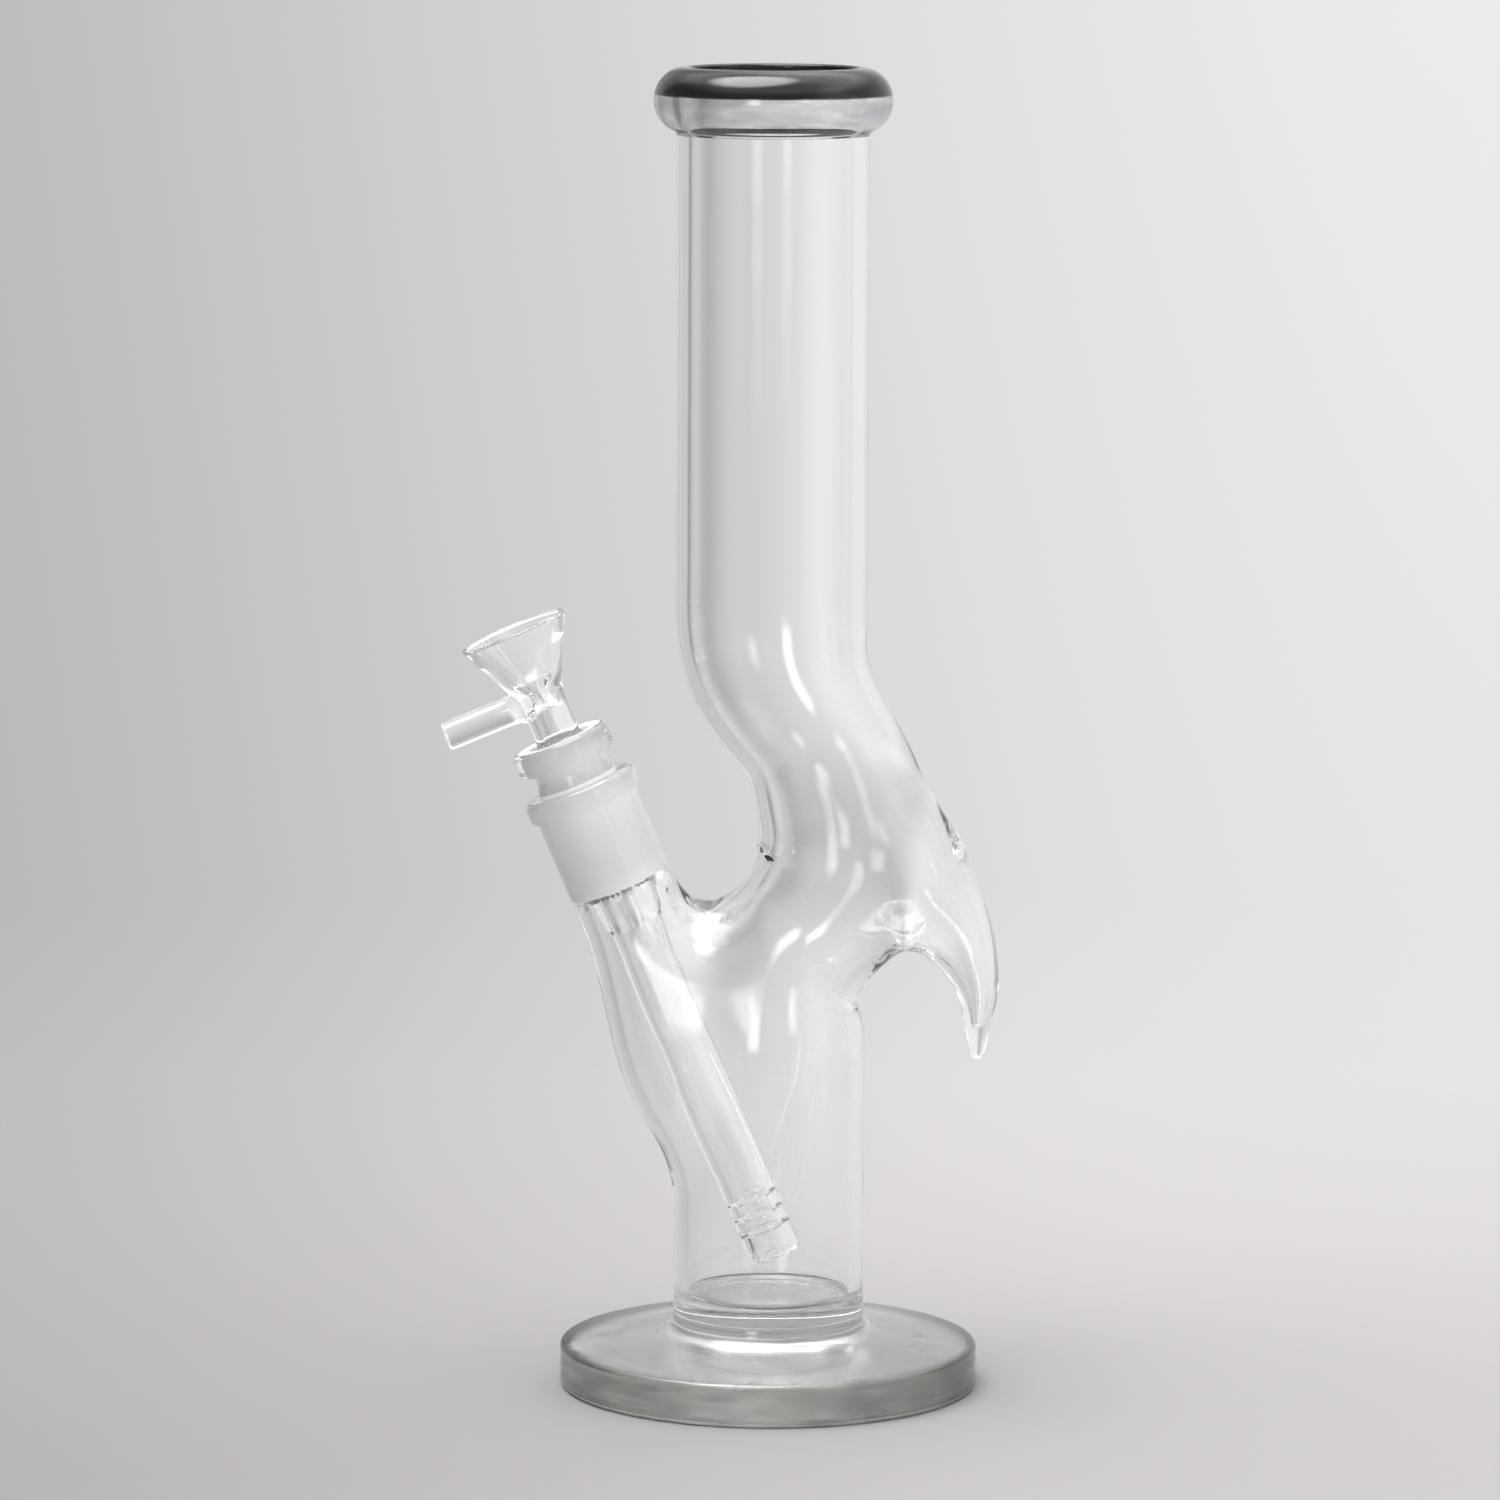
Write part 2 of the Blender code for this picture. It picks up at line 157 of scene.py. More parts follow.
LIMB_CUTS = (
    (UPRIGHT, NECK_CUT, TUBE_CUT_REACH, 1.0),
    (UPRIGHT, CHAMBER_CUT, TUBE_CUT_REACH, -1.0),
    (JOINT_FRAME, BRANCH_CUT, BRANCH_CUT_REACH, 1.0),
)

# Sides of the turned shapes
TUBE_SIDES = 144
SOCKET_SIDES = 96
JOINT_SIDES = 72
ROD_SIDES = 48

FIRST, SECOND = 0, 1        # material slots: clear and ground glass, or dark smoke glass as painted shade and pale smoke glass as painted light


# ---------------------------------------------------------------- the distance field of the blown body

class Spline:
    """A natural cubic spline through rows of numbers."""

    def __init__(self, rows, knots=None):
        self.rows = np.array(rows, float)
        if knots is None:
            strides = np.linalg.norm(np.diff(self.rows[:, :2], axis=0), axis=1)
            knots = np.concatenate([[0.0], np.cumsum(strides)])
        self.knots = np.array(knots, float)
        gaps = np.diff(self.knots)
        system = np.eye(len(self.knots))
        wanted = np.zeros_like(self.rows)
        for i in range(1, len(self.knots) - 1):
            system[i, i - 1:i + 2] = gaps[i - 1], 2.0 * (gaps[i - 1] + gaps[i]), gaps[i]
            wanted[i] = 6.0 * ((self.rows[i + 1] - self.rows[i]) / gaps[i]
                               - (self.rows[i] - self.rows[i - 1]) / gaps[i - 1])
        self.bends = np.linalg.solve(system, wanted)

    def at(self, along):
        """The values and their slopes at each place along the spline."""
        i = np.clip(np.searchsorted(self.knots, along) - 1, 0, len(self.knots) - 2)
        gap = (self.knots[i + 1] - self.knots[i])[..., None]
        before = (self.knots[i + 1] - along)[..., None] / gap
        after = 1.0 - before
        sag = (before ** 3 - before) * self.bends[i] + (after ** 3 - after) * self.bends[i + 1]
        value = before * self.rows[i] + after * self.rows[i + 1] + sag * gap ** 2 / 6.0
        turn = (3 * after ** 2 - 1) * self.bends[i + 1] - (3 * before ** 2 - 1) * self.bends[i]
        slope = (self.rows[i + 1] - self.rows[i]) / gap + turn * gap / 6.0
        return value, slope


def limb(spline, x, y, z):
    """Signed distance to a round-sectioned limb whose middle line lies in the plane y = 0."""
    shape = np.broadcast_shapes(x.shape, z.shape)
    places = np.stack([np.broadcast_to(x, shape).ravel(), np.broadcast_to(z, shape).ravel()], 1)
    samples = np.linspace(spline.knots[0], spline.knots[-1], int(spline.knots[-1] / LIMB_STRIDE) + 2)
    middles = spline.at(samples)[0][:, :2]
    along = np.empty(len(places))
    for start in range(0, len(places), LIMB_BLOCK):
        block = places[start:start + LIMB_BLOCK]
        nearest = ((block[:, None] - middles[None]) ** 2).sum(2).argmin(1)
        along[start:start + LIMB_BLOCK] = samples[nearest]
    for _ in range(LIMB_ROUNDS):
        value, slope = spline.at(along)
        heading = slope[:, :2]
        step = ((places - value[:, :2]) * heading).sum(1) / (heading ** 2).sum(1)
        step = np.clip(step, -LIMB_LONGEST_STEP, LIMB_LONGEST_STEP)
        along = np.clip(along + step, spline.knots[0], spline.knots[-1])
    value, _ = spline.at(along)
    aside = ((places - value[:, :2]) ** 2).sum(1).reshape(shape)
    return np.sqrt(aside + y ** 2) - value[:, 2].reshape(shape)


def branch(spline, x, y, z):
    """Signed distance to the branch, a turned shape on the joint axis."""
    right, up = x - SOCKET_FOOT.x, z - SOCKET_FOOT.z
    station = up * math.cos(JOINT_LEAN) - right * math.sin(JOINT_LEAN)
    across = right * math.cos(JOINT_LEAN) + up * math.sin(JOINT_LEAN)
    first, last = BRANCH[0][0], BRANCH[-1][0]
    radius = spline.at(np.clip(station, first, last))[0][..., 0]
    radius = radius - BRANCH_CLOSING * np.clip(first - station, 0.0, None)
    return np.sqrt(across ** 2 + y ** 2) - radius


def blended(one, other, reach):
    """Joins two shapes with a fillet about as wide as the reach."""
    share = np.clip(1.0 - np.abs(one - other) / reach, 0.0, None)
    return np.minimum(one, other) - share ** 2 * reach / 4.0


def eased(value, start, end):
    """0 before start and 1 after end, with a soft step between."""
    share = np.clip((value - start) / (end - start), 0.0, 1.0)
    return share * share * (3.0 - 2.0 * share)


def bore_of_bend():
    """The bend's hollow: its middle line shifts out, since the wall is thicker on the inside of the bend."""
    rows = []
    for x, z, radius in BEND:
        inside_bend = math.exp(-((z - BEND_INSIDE_HEIGHT) / BEND_INSIDE_SPREAD) ** 2)
        bore = radius - TUBE_WALL - BEND_BORE_SHRINK * inside_bend
        rows.append((x + BEND_BORE_SHIFT * inside_bend, z, bore))
    return rows


def bore_of_horn():
    """The horn's hollow, which ends before its tip: the wall gets thinner as the horn does."""
    rows = []
    for x, z, radius in HORN[:HORN_HOLLOW_STATIONS]:
        rows.append((x, z, radius - TUBE_WALL * radius / (radius + HORN_HALF_WALL_RADIUS)))
    return rows


def bore_of_branch():
    return [(station, radius - BRANCH_WALL) for station, radius in BRANCH]


def make_field(bend_rows, horn_rows, branch_rows, horn_reach):
    """The distance field of one blown surface. The branch's fillet widens towards the top of the crotch."""
    bend = Spline(bend_rows)
    horn = Spline(horn_rows)
    side = Spline([[radius] for _, radius in branch_rows], [station for station, _ in branch_rows])

    def field(x, y, z):
        rise = eased(z, BRANCH_BLEND_FROM, BRANCH_BLEND_TO)
        branch_reach = BRANCH_BLEND_LOW + (BRANCH_BLEND_HIGH - BRANCH_BLEND_LOW) * rise
        tube = blended(limb(bend, x, y, z), limb(horn, x, y, z), horn_reach)
        return blended(tube, branch(side, x, y, z), branch_reach)

    return field


outside_field = make_field(BEND, HORN, BRANCH, HORN_BLEND)
bore_field = make_field(bore_of_bend(), bore_of_horn(), bore_of_branch(), BORE_HORN_BLEND)


def probe(field, points):
    """Field value and unit gradient, from probes at the corners of a small tetrahedron around each point."""
    value, slope = 0.0, 0.0
    for corner in ((1, 1, 1), (1, -1, -1), (-1, 1, -1), (-1, -1, 1)):
        at_corner = field(*(points + PROBE_REACH * np.array(corner)).T)
        value = value + at_corner / 4.0
        slope = slope + at_corner[:, None] * np.array(corner)
    return value, slope / np.linalg.norm(slope, axis=1, keepdims=True)


def drop(field, points):
    """Moves points onto the surface."""
    value, slope = probe(field, points)
    return points - value[:, None] * slope


def surface_net(field):
    """A vertex for each grid cell that the surface crosses, and a quad around each grid edge it cuts."""
    axes = [np.arange(low, high + NET_STEP, NET_STEP) for low, high in NET_BOX]
    inside = field(axes[0][:, None, None], axes[1][None, :, None], axes[2][None, None, :]) < 0.0
    corners = np.zeros([n - 1 for n in inside.shape], int)
    for i in (0, 1):
        for j in (0, 1):
            for k in (0, 1):
                corners += inside[i:, j:, k:][:corners.shape[0], :corners.shape[1], :corners.shape[2]]
    crossed = (corners > 0) & (corners < 8)
    index = np.full(crossed.shape, -1)
    index[crossed] = np.arange(crossed.sum())
    points = np.argwhere(crossed) * NET_STEP + NET_STEP / 2.0 + np.array([low for low, _ in NET_BOX])
    quads = []
    for a in range(3):
        order = (a, (a + 1) % 3, (a + 2) % 3)
        corner = np.moveaxis(inside, order, (0, 1, 2))
        cell = np.moveaxis(index, order, (0, 1, 2))
        here, there = corner[:-1, 1:-1, 1:-1], corner[1:, 1:-1, 1:-1]
        around = np.stack([cell[:, :-1, :-1], cell[:, 1:, :-1], cell[:, 1:, 1:], cell[:, :-1, 1:]], -1)
        quads.append(around[here & ~there])
        quads.append(around[~here & there][:, ::-1])
    return points, np.concatenate(quads)


def settle(field, points, quads):
    """Spreads the net evenly over the surface: each round averages neighbours and drops them back on it."""
    ends = np.concatenate([quads[:, [i, (i + 1) % 4]] for i in range(4)])
    ends = np.concatenate([ends, ends[:, ::-1]])
    counts = np.bincount(ends[:, 0], minlength=len(points))[:, None]
    points = drop(field, drop(field, points))
    for _ in range(RELAX_ROUNDS):
        sums = [np.bincount(ends[:, 0], points[ends[:, 1], axis], len(points)) for axis in range(3)]
        points = drop(field, (1.0 - RELAX_SHARE) * points + RELAX_SHARE * np.stack(sums, 1) / counts)
    return drop(field, points)


# ---------------------------------------------------------------- mesh building

def arc(centre, reach, start_deg, end_deg, steps):
    """Points on an ellipse in the (radius, station) plane; reach is its half width and half height."""
    points = []
    for step in range(steps + 1):
        angle = math.radians(start_deg + (end_deg - start_deg) * step / steps)
        points.append((centre[0] + reach[0] * math.cos(angle), centre[1] + reach[1] * math.sin(angle)))
    return points


def line(start, end, steps):
    """Points after start up to end, evenly spaced."""
    return [tuple(a + (b - a) * step / steps for a, b in zip(start, end)) for step in range(1, steps + 1)]


def braced(start, end, steps):
    """Like line, with a point close to either end, so that a bend there does not shade the run between."""
    points = line(start, end, steps)
    near = [tuple(a + (b - a) * share for a, b in zip(start, end)) for share in (0.03, 0.97)]
    return [near[0], *points[:-1], near[1], points[-1]]


def add_ring(mesh, place, radius, station, sides):
    """A ring of vertices around the axis, or one vertex where the radius is nothing."""
    if radius < 1e-6:
        return [mesh.verts.new(place @ Vector((0.0, 0.0, station)))]
    verts = []
    for side in range(sides):
        angle = 2.0 * math.pi * side / sides
        point = Vector((radius * math.cos(angle), radius * math.sin(angle), station))
        verts.append(mesh.verts.new(place @ point))
    return verts


def join_rings(mesh, one, other, slot):
    """Faces between two rings: triangles where one of them is a single vertex."""
    count = max(len(one), len(other))
    for side in range(count):
        corners = [one[side % len(one)], one[(side + 1) % len(one)],
                   other[(side + 1) % len(other)], other[side % len(other)]]
        face = mesh.faces.new(list(dict.fromkeys(corners)))
        face.material_index = slot
        face.smooth = True


def add_turned(mesh, place, profile, sides, marked=(), closed=False):
    """Turns a (radius, station) profile and returns its first and last ring.

    Steps inside a marked span take the second material, and so does the step that closes a marked profile.
    """
    rings = [add_ring(mesh, place, radius, station, sides) for radius, station in profile]
    pairs = list(zip(range(len(rings) - 1), range(1, len(rings))))
    if closed:
        pairs.append((len(rings) - 1, 0))
    for a, b in pairs:
        second = any(span[0] <= a and b <= span[1] for span in marked)
        join_rings(mesh, rings[a], rings[b], SECOND if second else FIRST)
    return rings[0], rings[-1]


def turned_piece(name, place, profile, sides, materials, marked=(), closed=False):
    mesh = bmesh.new()
    add_turned(mesh, place, profile, sides, marked, closed)
    return finished(name, mesh, materials)


def finished(name, mesh, materials, normals=None):
    """Ends a mesh in metres, faces out, in an object of its own."""
    bmesh.ops.recalc_face_normals(mesh, faces=mesh.faces)
    data = bpy.data.meshes.new(name)
    mesh.to_mesh(data)
    mesh.free()
    if normals is not None:
        data.normals_split_custom_set_from_vertices(normals(data))
    data.transform(Matrix.Scale(MM, 4))
    for material in materials:
        data.materials.append(material)
    piece = bpy.data.objects.new(name, data)
    bpy.context.scene.collection.objects.link(piece)
    return piece


def add_net(mesh, field):
    """Adds a blown surface to the mesh and returns its faces."""
    points, quads = surface_net(field)
    points = settle(field, points, quads)
    verts = [mesh.verts.new(point) for point in points]
    faces = []
    for quad in quads:
        face = mesh.faces.new([verts[i] for i in quad])
        face.smooth = True
        faces.append(face)
    return set(faces)


def cut_end(mesh, faces, place, station, reach, direction):
    """Cuts a limb's end off square to its axis and returns the cut's vertices in order around the axis."""
    back = place.inverted()

    def local(point):
        return back @ point

    def near(face):
        middle = local(face.calc_center_median())
        return direction * (middle.z - station) > -CUT_DEPTH and math.hypot(middle.x, middle.y) < reach

    chosen = [face for face in faces if near(face)]
    geometry = list({item for face in chosen for item in (face, *face.verts, *face.edges)})
    origin = place @ Vector((0.0, 0.0, station))
    axis = (place.to_3x3() @ Vector((0.0, 0.0, direction))).normalized()
    result = bmesh.ops.bisect_plane(
        mesh, geom=geometry, dist=1e-5, plane_co=origin, plane_no=axis, clear_outer=True)
    cut = {item for item in result["geom_cut"] if isinstance(item, bmesh.types.BMVert)}
    cut = [vert for vert in cut if vert.is_valid and math.hypot(*local(vert.co).xy) < reach]
    return sorted(cut, key=lambda vert: math.atan2(local(vert.co).y, local(vert.co).x))


def add_blown(mesh, field):
    """Adds a blown surface with its open ends cut off; returns the rings at neck, chamber and branch."""
    faces = add_net(mesh, field)
    rings = []
    for place, station, reach, direction in LIMB_CUTS:
        rings.append(cut_end(mesh, faces, place, station, reach, direction))
        faces = {face for face in faces if face.is_valid}
    return rings


def zip_rings(mesh, place, one, other):
    """Triangles between two rings around one axis that needn't have the same number of vertices."""
    back = place.inverted()

    def turn(vert):
        point = back @ vert.co
        return math.atan2(point.y, point.x) % (2.0 * math.pi)

    one, other = sorted(one, key=turn), sorted(other, key=turn)
    a_turns = [turn(vert) for vert in one] + [turn(one[0]) + 2.0 * math.pi]
    b_turns = [turn(vert) for vert in other] + [turn(other[0]) + 2.0 * math.pi]
    a = b = 0
    while a < len(one) or b < len(other):
        here, there = one[a % len(one)], other[b % len(other)]
        if b == len(other) or (a < len(one) and a_turns[a + 1] <= b_turns[b + 1]):
            corners = (here, one[(a + 1) % len(one)], there)
            a += 1
        else:
            corners = (here, other[(b + 1) % len(other)], there)
            b += 1
        face = mesh.faces.new(corners)
        face.smooth = True


# ---------------------------------------------------------------- materials

def new_material(name):
    material = bpy.data.materials.new(name)
    material.use_nodes = True
    nodes = material.node_tree.nodes
    return material, nodes, material.node_tree.links, nodes["Principled BSDF"]


def noise(nodes, links, scale, detail, stretch=(1.0, 1.0, 1.0)):
    """Noise in the object's own metres, stretched along an axis where wanted."""
    coordinates = nodes.new("ShaderNodeTexCoord")
    mapping = nodes.new("ShaderNodeMapping")
    mapping.inputs["Scale"].default_value = stretch
    texture = nodes.new("ShaderNodeTexNoise")
    texture.inputs["Scale"].default_value = scale
    texture.inputs["Detail"].default_value = detail
    links.new(coordinates.outputs["Object"], mapping.inputs["Vector"])
    links.new(mapping.outputs["Vector"], texture.inputs["Vector"])
    return texture


def mapped(nodes, links, value, low, high, to_low, to_high):
    """Maps low..high to to_low..to_high and holds the ends beyond."""
    span = nodes.new("ShaderNodeMapRange")
    for name, number in (("From Min", low), ("From Max", high), ("To Min", to_low), ("To Max", to_high)):
        span.inputs[name].default_value = number
    links.new(value, span.inputs["Value"])
    return span.outputs["Result"]


def mapped_smooth(nodes, links, value, low, high, to_low, to_high):
    result = mapped(nodes, links, value, low, high, to_low, to_high)
    result.node.interpolation_type = "SMOOTHSTEP"
    return result


def combined(nodes, links, operation, one, other):
    result = nodes.new("ShaderNodeMath")
    result.operation = operation
    links.new(one, result.inputs[0])
    links.new(other, result.inputs[1])
    return result.outputs["Value"]


def times(nodes, links, one, other):
    return combined(nodes, links, "MULTIPLY", one, other)


def plus(nodes, links, one, other):
    return combined(nodes, links, "ADD", one, other)


def axes_of(nodes, links, vector):
    """The X, Y and Z of a vector, by name."""
    axes = nodes.new("ShaderNodeSeparateXYZ")
    links.new(vector, axes.inputs["Vector"])
    return axes.outputs


def length_of(nodes, links, vector):
    length = nodes.new("ShaderNodeVectorMath")
    length.operation = "LENGTH"
    links.new(vector, length.inputs[0])
    return length.outputs["Value"]


def tone_between(nodes, links, share, one, other):
    """A colour between two, by a share from 0 to 1."""
    tone = nodes.new("ShaderNodeMix")
    tone.data_type = "RGBA"
    tone.inputs["A"].default_value = (*one, 1.0)
    tone.inputs["B"].default_value = (*other, 1.0)
    links.new(share, tone.inputs["Factor"])
    return tone.outputs["Result"]


def bumped(nodes, links, height, strength, distance, normal=None):
    bump = nodes.new("ShaderNodeBump")
    bump.inputs["Strength"].default_value = strength
    bump.inputs["Distance"].default_value = distance
    links.new(height, bump.inputs["Height"])
    if normal is not None:
        links.new(normal, bump.inputs["Normal"])
    return bump.outputs["Normal"]


def absorb(nodes, links, colour, density):
    """Takes light away with the depth of glass that it passes."""
    volume = nodes.new("ShaderNodeVolumeAbsorption")
    volume.inputs["Color"].default_value = (*colour, 1.0)
    volume.inputs["Density"].default_value = density
    links.new(volume.outputs["Volume"], nodes["Material Output"].inputs["Volume"])


# Glass. Heights, depths and distances in the materials are in metres.
GLASS_IOR = 1.47
GREEN_TRACE = (0.86, 0.93, 0.86)
GREEN_DENSITY = 2.5
WAVE_SCALE = 55.0
WAVE_STRENGTH = 0.30
WAVE_DEPTH = 0.00015
PRESSED_WAVES = 9.0                 # the pressed foot is this much wavier than the drawn tube
PRESSED_TO_DRAWN = (0.006, 0.011)
DRAWN_SCALE = 420.0
DRAWN_STRETCH = (1.0, 1.0, 0.02)
DRAWN_STRENGTH = 0.10
DRAWN_DEPTH = 0.00002
SMEAR_SCALE = 90.0
SMEAR_ROUGHNESS = 0.02
STANDING_ROUGHNESS = (0.28, 0.04)   # the foot's underside is worn matt, but near its rim it is polished
STANDING_FACE_TO_RIM = (0.036, 0.045)
STANDING_FACE_TO_BODY = (0.0001, 0.0004)

# Ground glass
GRAIN_SCALE = 2600.0
GRAIN_ROUGHNESS = (0.45, 0.65)
GRAIN_STRENGTH = 0.4
GRAIN_DEPTH = 0.00003
GRINDING_SCALE = 160.0
GROUND_TONES = ((0.92, 0.93, 0.92), (0.98, 0.98, 0.98))

# Smoke glass: a colour and a density for each kind. The lip's dark and pale kinds are one smoke glass, darker
# as painted shade in its upper half and paler as painted light in its lower half.
SMOKE_WITH_PAINTED_SHADE = ((0.03, 0.05, 0.08), 900.0)
SMOKE_WITH_PAINTED_LIGHT = ((0.40, 0.42, 0.46), 8.0)
FOOT_SMOKE = ((0.16, 0.14, 0.07), 170.0)
STREAK_SCALE = 70.0
STREAK_STRETCH = (1.0, 1.0, 5.0)
STREAK_TONES = ((0.70, 0.72, 0.74), (1.0, 1.0, 0.98))


def clear_glass():
    """Borosilicate: drawing lines along the tube, slow hand-worked waves, and a trace of green in depth."""
    material, nodes, links, shader = new_material("clear_glass")
    shader.inputs["Base Color"].default_value = (1.0, 1.0, 1.0, 1.0)
    shader.inputs["Transmission Weight"].default_value = 1.0
    shader.inputs["IOR"].default_value = GLASS_IOR
    place = nodes.new("ShaderNodeTexCoord").outputs["Object"]
    height = axes_of(nodes, links, place)["Z"]

    waves = noise(nodes, links, WAVE_SCALE, 1.0)
    pressed = mapped(nodes, links, height, *PRESSED_TO_DRAWN, PRESSED_WAVES, 1.0)
    ripples = times(nodes, links, waves.outputs["Fac"], pressed)
    drawn = noise(nodes, links, DRAWN_SCALE, 1.0, DRAWN_STRETCH)
    normal = bumped(nodes, links, drawn.outputs["Fac"], DRAWN_STRENGTH, DRAWN_DEPTH)
    normal = bumped(nodes, links, ripples, WAVE_STRENGTH, WAVE_DEPTH, normal)
    links.new(normal, shader.inputs["Normal"])

    smears = noise(nodes, links, SMEAR_SCALE, 3.0)
    smeared = mapped(nodes, links, smears.outputs["Fac"], 0.45, 0.75, 0.0, SMEAR_ROUGHNESS)
    outwards = length_of(nodes, links, place)
    matt = mapped(nodes, links, outwards, *STANDING_FACE_TO_RIM, *STANDING_ROUGHNESS)
    standing = mapped(nodes, links, height, *STANDING_FACE_TO_BODY, 1.0, 0.0)
    worn = times(nodes, links, matt, standing)
    links.new(plus(nodes, links, smeared, worn), shader.inputs["Roughness"])
    absorb(nodes, links, GREEN_TRACE, GREEN_DENSITY)
    return material


def ground_glass():
    """The matt white surface of a ground taper: fine grain, and uneven tones left by the grinding."""
    material, nodes, links, shader = new_material("ground_glass")
    shader.inputs["IOR"].default_value = GLASS_IOR
    grain = noise(nodes, links, GRAIN_SCALE, 2.0).outputs["Fac"]
    grinding = noise(nodes, links, GRINDING_SCALE, 2.0).outputs["Fac"]
    links.new(tone_between(nodes, links, grinding, *GROUND_TONES), shader.inputs["Base Color"])
    links.new(mapped(nodes, links, grain, 0.3, 0.7, *GRAIN_ROUGHNESS), shader.inputs["Roughness"])
    links.new(bumped(nodes, links, grain, GRAIN_STRENGTH, GRAIN_DEPTH), shader.inputs["Normal"])
    return material


def tint_core(name, colour, density):
    """Smoke-coloured glass inside the clear skin: it bends no light, it only takes it away with depth."""
    material, nodes, links, shader = new_material(name)
    shader.inputs["Transmission Weight"].default_value = 1.0
    shader.inputs["IOR"].default_value = 1.0
    shader.inputs["Roughness"].default_value = 0.0
    streaks = noise(nodes, links, STREAK_SCALE, 3.0, STREAK_STRETCH)
    share = mapped(nodes, links, streaks.outputs["Fac"], 0.35, 0.60, 0.0, 1.0)
    links.new(tone_between(nodes, links, share, *STREAK_TONES), shader.inputs["Base Color"])
    absorb(nodes, links, colour, density)
    return material


# ---------------------------------------------------------------- pieces

def lip_outside(start_deg, steps, inset=0.0, end_deg=90.0):
    """Up the outside of the lip, between two angles seen from its middle."""
    half = LIP_HEIGHT / 2.0
    reach = (LIP_REACH - LIP_MIDDLE_RADIUS - inset, half - inset)
    return arc((LIP_MIDDLE_RADIUS, LIP_TOP - half), reach, start_deg, end_deg, steps)


def lip_inside(start, end, steps, inset=0.0):
    """Down the inside of the lip, between two shares of its half height."""
    half = LIP_HEIGHT / 2.0
    points = []
    for step in range(steps + 1):
        height = start + (end - start) * step / steps
        flare = LIP_FLARE * (1.0 - height ** 2) ** 1.5
        points.append((BORE_RADIUS + inset + flare, LIP_TOP - half + half * height))
    return points


def lip_profile():
    """From the neck's outside, round the rolled lip, down into the bore."""
    outer = lip_outside(LIP_FROM_DEG, 24)
    crease = outer[0][1] - 0.5
    mouth = [(LIP_MIDDLE_RADIUS - 0.8, LIP_TOP - 0.12)]
    inner = lip_inside(LIP_MOUTH_SHARE, -1.0, 20)
    neck = [(TUBE_RADIUS, crease - 0.4), (TUBE_RADIUS, crease)]
    return [*neck, *outer, *mouth, *inner, (BORE_RADIUS, crease - 0.8)]


def rim_round(reach):
    """The upper and the lower bevel of the disc's edge."""
    edge = FOOT_RADIUS - RIM_BEVEL
    top = arc((edge, FOOT_HEIGHT - RIM_BEVEL), (reach, reach), 90.0, 0.0, 6)
    bottom = arc((edge, RIM_BEVEL), (reach, reach), 0.0, -90.0, 6)
    return top, bottom


def foot_profile():
    """From the weld down the boss, over the disc and its rim to the middle of the underside."""
    weld = [(TUBE_RADIUS, 17.8), (TUBE_RADIUS, 17.4), (TUBE_RADIUS - 0.25, 17.0), (TUBE_RADIUS, 16.6)]
    fillet = arc((TUBE_RADIUS + BOSS_FILLET, DISC_TOP_AT_BOSS + BOSS_FILLET_HEIGHT),
                 (BOSS_FILLET, BOSS_FILLET_HEIGHT), 180.0, 270.0, 9)
    top, bottom = rim_round(RIM_BEVEL)
    flat = line(fillet[-1], top[0], 6)[:-1]
    return [*weld, *fillet, *flat, *top, *bottom, *line(bottom[-1], (0.0, 0.0), 5)]


def floor_profile():
    """From the bore down over the chamber's rounded floor to its middle."""
    rounding = 2.2
    centre = (BORE_RADIUS - rounding, CHAMBER_FLOOR + rounding)
    corner = arc(centre, (rounding, rounding), 0.0, -90.0, 6)
    return [*corner, *line(corner[-1], (0.0, CHAMBER_FLOOR - 0.5), 4)]


def socket_profile():
    """From the branch's outside up over the socket's rim and down its ground cone; also the cone's steps."""
    rim_bottom = SOCKET_MOUTH - SOCKET_RIM_HEIGHT
    cone_top = (male_radius(SOCKET_MOUTH) + GROUND_CLEARANCE, SOCKET_MOUTH - 1.2)
    cone_foot = (male_radius(0.0) + GROUND_CLEARANCE, 0.0)
    outer = [
        (SOCKET_RADIUS, rim_bottom - 0.6),
        *arc((SOCKET_RIM_RADIUS - 1.2, rim_bottom + 1.2), (1.2, 1.2), -80.0, 0.0, 5),
        *arc((SOCKET_RIM_RADIUS - 1.8, SOCKET_MOUTH - 1.8), (1.8, 1.8), 0.0, 90.0, 7),
        *arc((cone_top[0] + 1.2, SOCKET_MOUTH - 1.2), (1.2, 1.2), 90.0, 180.0, 5),
    ]
    ground = line(cone_top, cone_foot, 6)
    step = [(BORE_SOCKET_STEP, -0.4)]
    return [*outer, *ground, *step], (len(outer) - 1, len(outer) + len(ground) - 1)


def male_radius(station):
    return MALE_RADIUS - TAPER * (MALE_TOP - station)


def bowl_socket_radius(station):
    return BOWL_SOCKET_RADIUS - TAPER * (COLLAR_TOP - station)


def plug_radius(station):
    return bowl_socket_radius(station) - GROUND_CLEARANCE


def skin_normals(data):
    """Exact normals on the blown surfaces, and on the turned parts the mean of the faces around by area."""
    points = np.empty(len(data.vertices) * 3)
    data.vertices.foreach_get("co", points)
    points = points.reshape(-1, 3)
    sizes, corners = np.empty(len(data.polygons), int), np.empty(len(data.loops), int)
    areas, facing = np.empty(len(data.polygons)), np.empty(len(data.polygons) * 3)
    data.polygons.foreach_get("loop_total", sizes)
    data.loops.foreach_get("vertex_index", corners)
    data.polygons.foreach_get("area", areas)
    data.polygons.foreach_get("normal", facing)
    shares = np.repeat(areas[:, None] * facing.reshape(-1, 3), sizes, axis=0)
    normals = np.stack([np.bincount(corners, shares[:, axis], len(points)) for axis in range(3)], 1)
    normals /= np.linalg.norm(normals, axis=1, keepdims=True)
    for field, sign in ((outside_field, 1.0), (bore_field, -1.0)):
        value, slope = probe(field, points)
        blown = (np.abs(value) < BLOWN_TOUCH) & ((slope * normals).sum(1) * sign > BLOWN_FACING)
        normals[blown] = sign * slope[blown]
    return normals


